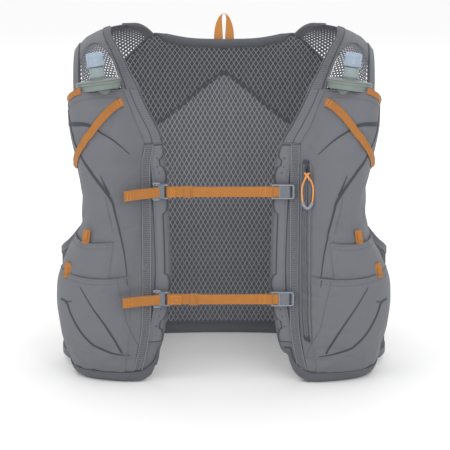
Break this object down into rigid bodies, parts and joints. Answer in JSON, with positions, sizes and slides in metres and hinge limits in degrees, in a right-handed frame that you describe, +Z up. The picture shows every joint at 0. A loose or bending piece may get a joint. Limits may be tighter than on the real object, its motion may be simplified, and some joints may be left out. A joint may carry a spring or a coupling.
{
  "type": "hydration running vest",
  "caption": "Running-vest hydration pack in worn shape: mesh back with a zip compartment, wrap-round fronts with soft flasks in chest pockets, and hooked sternum straps on slide rails.",
  "frame": {"origin": "middle of the bounding box, on the floor that the pods and the back stand on", "axes": "+X is the wearer's left, -Y is the front of the wearer, +Z is up"},
  "size_m": [0.3901, 0.2929, 0.4078],
  "materials": {
    "spacer_mesh": "grey 3-D spacer mesh with a diamond face",
    "open_knit": "single-layer open knit with round holes",
    "dark_binding": "dark grey folded binding and zip tape",
    "grey_ripstop": "matt grey ripstop nylon",
    "stretch_fabric": "matt grey stretch woven",
    "orange_webbing": "woven orange webbing",
    "knit_tape": "textured elastic knit tape",
    "rail_tpu": "moulded soft strip",
    "moulded_plastic": "light grey acetal",
    "zip_metal": "dark coated zip slider",
    "grip_rubber": "grey rubber tube",
    "flask_film": "translucent flexible film",
    "flask_frost": "frosted grey-green polymer",
    "cover_clear": "translucent pale blue"
  },
  "bodies": {
    "back": {"back_panel": "spacer_mesh", "yoke_panel": "spacer_mesh", "neck_binding": "dark_binding", "base_binding": "dark_binding", "main_compartment": "grey_ripstop", "reservoir_sleeve": "stretch_fabric", "reservoir_hanger": "moulded_plastic", "stash_pocket": "stretch_fabric", "main_zip_tape": "dark_binding", "haul_loop": "orange_webbing", "left_shoulder_mesh": "open_knit", "right_shoulder_mesh": "open_knit"},
    "main_slider": {"main_zip_slider": "zip_metal"},
    "main_pull": {"main_zip_pull": "orange_webbing"},
    "left_front": {"left_front_panel": "grey_ripstop", "left_shoulder_strap": "grey_ripstop", "left_side_wing": "open_knit", "left_flask_pocket": "grey_ripstop", "left_side_pocket": "stretch_fabric", "left_hem_pocket": "stretch_fabric", "left_flask_strap": "orange_webbing", "left_pull_tabs": "orange_webbing", "left_edge_tape": "knit_tape", "left_rail": "rail_tpu", "chest_zip_tape": "dark_binding"},
    "right_front": {"right_front_panel": "grey_ripstop", "right_shoulder_strap": "grey_ripstop", "right_side_wing": "open_knit", "right_flask_pocket": "grey_ripstop", "right_side_pocket": "stretch_fabric", "right_hem_pocket": "stretch_fabric", "right_flask_strap": "orange_webbing", "right_pull_tabs": "orange_webbing", "right_edge_tape": "knit_tape", "right_rail": "rail_tpu"},
    "left_flask_body": {"left_flask": "flask_film"},
    "left_lid": {"left_flask_collar": "flask_frost"},
    "left_valve": {"left_bite_valve": "flask_frost"},
    "left_cover": {"left_valve_cover": "cover_clear"},
    "right_flask_body": {"right_flask": "flask_film"},
    "right_lid": {"right_flask_collar": "flask_frost"},
    "right_valve": {"right_bite_valve": "flask_frost"},
    "right_cover": {"right_valve_cover": "cover_clear"},
    "chest_slider": {"chest_zip_slider": "zip_metal"},
    "chest_pull": {"chest_zip_cord": "orange_webbing", "chest_zip_grip": "grip_rubber"},
    "upper_lock": {"upper_tension_lock": "moulded_plastic", "upper_strap_tail": "orange_webbing"},
    "lower_lock": {"lower_tension_lock": "moulded_plastic", "lower_strap_tail": "orange_webbing"},
    "upper_strap": {"upper_webbing": "orange_webbing"},
    "lower_strap": {"lower_webbing": "orange_webbing"},
    "upper_keeper_band": {"upper_keeper": "orange_webbing"},
    "lower_keeper_band": {"lower_keeper": "orange_webbing"},
    "upper_clip": {"upper_hook": "moulded_plastic"},
    "lower_clip": {"lower_hook": "moulded_plastic"}
  },
  "joints": [
    {"name": "left_front_open", "type": "hinge", "parent": "back", "child": "left_front", "pos_m": [0.1345, 0.084, 0], "axis": [0, 0, 1], "range_deg": [0, 35]},
    {"name": "right_front_open", "type": "hinge", "parent": "back", "child": "right_front", "pos_m": [-0.1345, 0.084, 0], "axis": [0, 0, -1], "range_deg": [0, 35]},
    {"name": "upper_lock_height", "type": "slide", "parent": "right_front", "child": "upper_lock", "axis": [0, 0, 1], "range_m": [0, 0.031]},
    {"name": "upper_strap_swing", "type": "hinge", "parent": "upper_lock", "child": "upper_strap", "pos_m": [-0.063, -0.1178, 0.229], "axis": [0, 0, -1], "range_deg": [0, 80]},
    {"name": "upper_hook_turn", "type": "hinge", "parent": "upper_strap", "child": "upper_clip", "pos_m": [0.054, -0.1178, 0.229], "axis": [0, 0, -1], "range_deg": [0, 80]},
    {"name": "upper_keeper_slide", "type": "slide", "parent": "upper_strap", "child": "upper_keeper_band", "axis": [1, 0, 0], "range_m": [-0.008, 0.055]},
    {"name": "lower_lock_height", "type": "slide", "parent": "right_front", "child": "lower_lock", "axis": [0, 0, 1], "range_m": [-0.031, 0]},
    {"name": "lower_strap_swing", "type": "hinge", "parent": "lower_lock", "child": "lower_strap", "pos_m": [-0.063, -0.1178, 0.103], "axis": [0, 0, -1], "range_deg": [0, 80]},
    {"name": "lower_hook_turn", "type": "hinge", "parent": "lower_strap", "child": "lower_clip", "pos_m": [0.054, -0.1178, 0.103], "axis": [0, 0, -1], "range_deg": [0, 80]},
    {"name": "lower_keeper_slide", "type": "slide", "parent": "lower_strap", "child": "lower_keeper_band", "axis": [1, 0, 0], "range_m": [-0.008, 0.055]},
    {"name": "left_flask_lift", "type": "slide", "parent": "left_front", "child": "left_flask_body", "axis": [0.1381, 0.1219, 0.9829], "range_m": [0, 0.13]},
    {"name": "left_lid_turn", "type": "hinge", "parent": "left_flask_body", "child": "left_lid", "pos_m": [0.142, -0.1015, 0.349], "axis": [0.1381, 0.1219, 0.9829], "range_deg": [0, 270]},
    {"name": "left_valve_turn", "type": "hinge", "parent": "left_lid", "child": "left_valve", "pos_m": [0.142, -0.1015, 0.349], "axis": [0.1381, 0.1219, 0.9829], "range_deg": [0, 90]},
    {"name": "left_cover_pull", "type": "slide", "parent": "left_valve", "child": "left_cover", "axis": [0.1381, 0.1219, 0.9829], "range_m": [0, 0.022]},
    {"name": "right_flask_lift", "type": "slide", "parent": "right_front", "child": "right_flask_body", "axis": [-0.1381, 0.1219, 0.9829], "range_m": [0, 0.13]},
    {"name": "right_lid_turn", "type": "hinge", "parent": "right_flask_body", "child": "right_lid", "pos_m": [-0.142, -0.1015, 0.349], "axis": [-0.1381, 0.1219, 0.9829], "range_deg": [0, 270]},
    {"name": "right_valve_turn", "type": "hinge", "parent": "right_lid", "child": "right_valve", "pos_m": [-0.142, -0.1015, 0.349], "axis": [-0.1381, 0.1219, 0.9829], "range_deg": [0, 90]},
    {"name": "right_cover_pull", "type": "slide", "parent": "right_valve", "child": "right_cover", "axis": [-0.1381, 0.1219, 0.9829], "range_m": [0, 0.022]},
    {"name": "chest_zip_run", "type": "slide", "parent": "left_front", "child": "chest_slider", "axis": [-0.0039, 0.0198, -0.9998], "range_m": [0, 0.15]},
    {"name": "chest_pull_swing", "type": "hinge", "parent": "chest_slider", "child": "chest_pull", "pos_m": [0.09256, -0.12704, 0.25561], "axis": [-0.8192, 0.5736, 0], "range_deg": [0, 70]},
    {"name": "main_zip_run", "type": "slide", "parent": "back", "child": "main_slider", "axis": [1, 0, 0], "range_m": [0, 0.087]},
    {"name": "main_pull_swing", "type": "hinge", "parent": "main_slider", "child": "main_pull", "pos_m": [-0.04363, 0.13717, 0.27763], "axis": [1, 0, 0], "range_deg": [0, 70]}
  ]
}
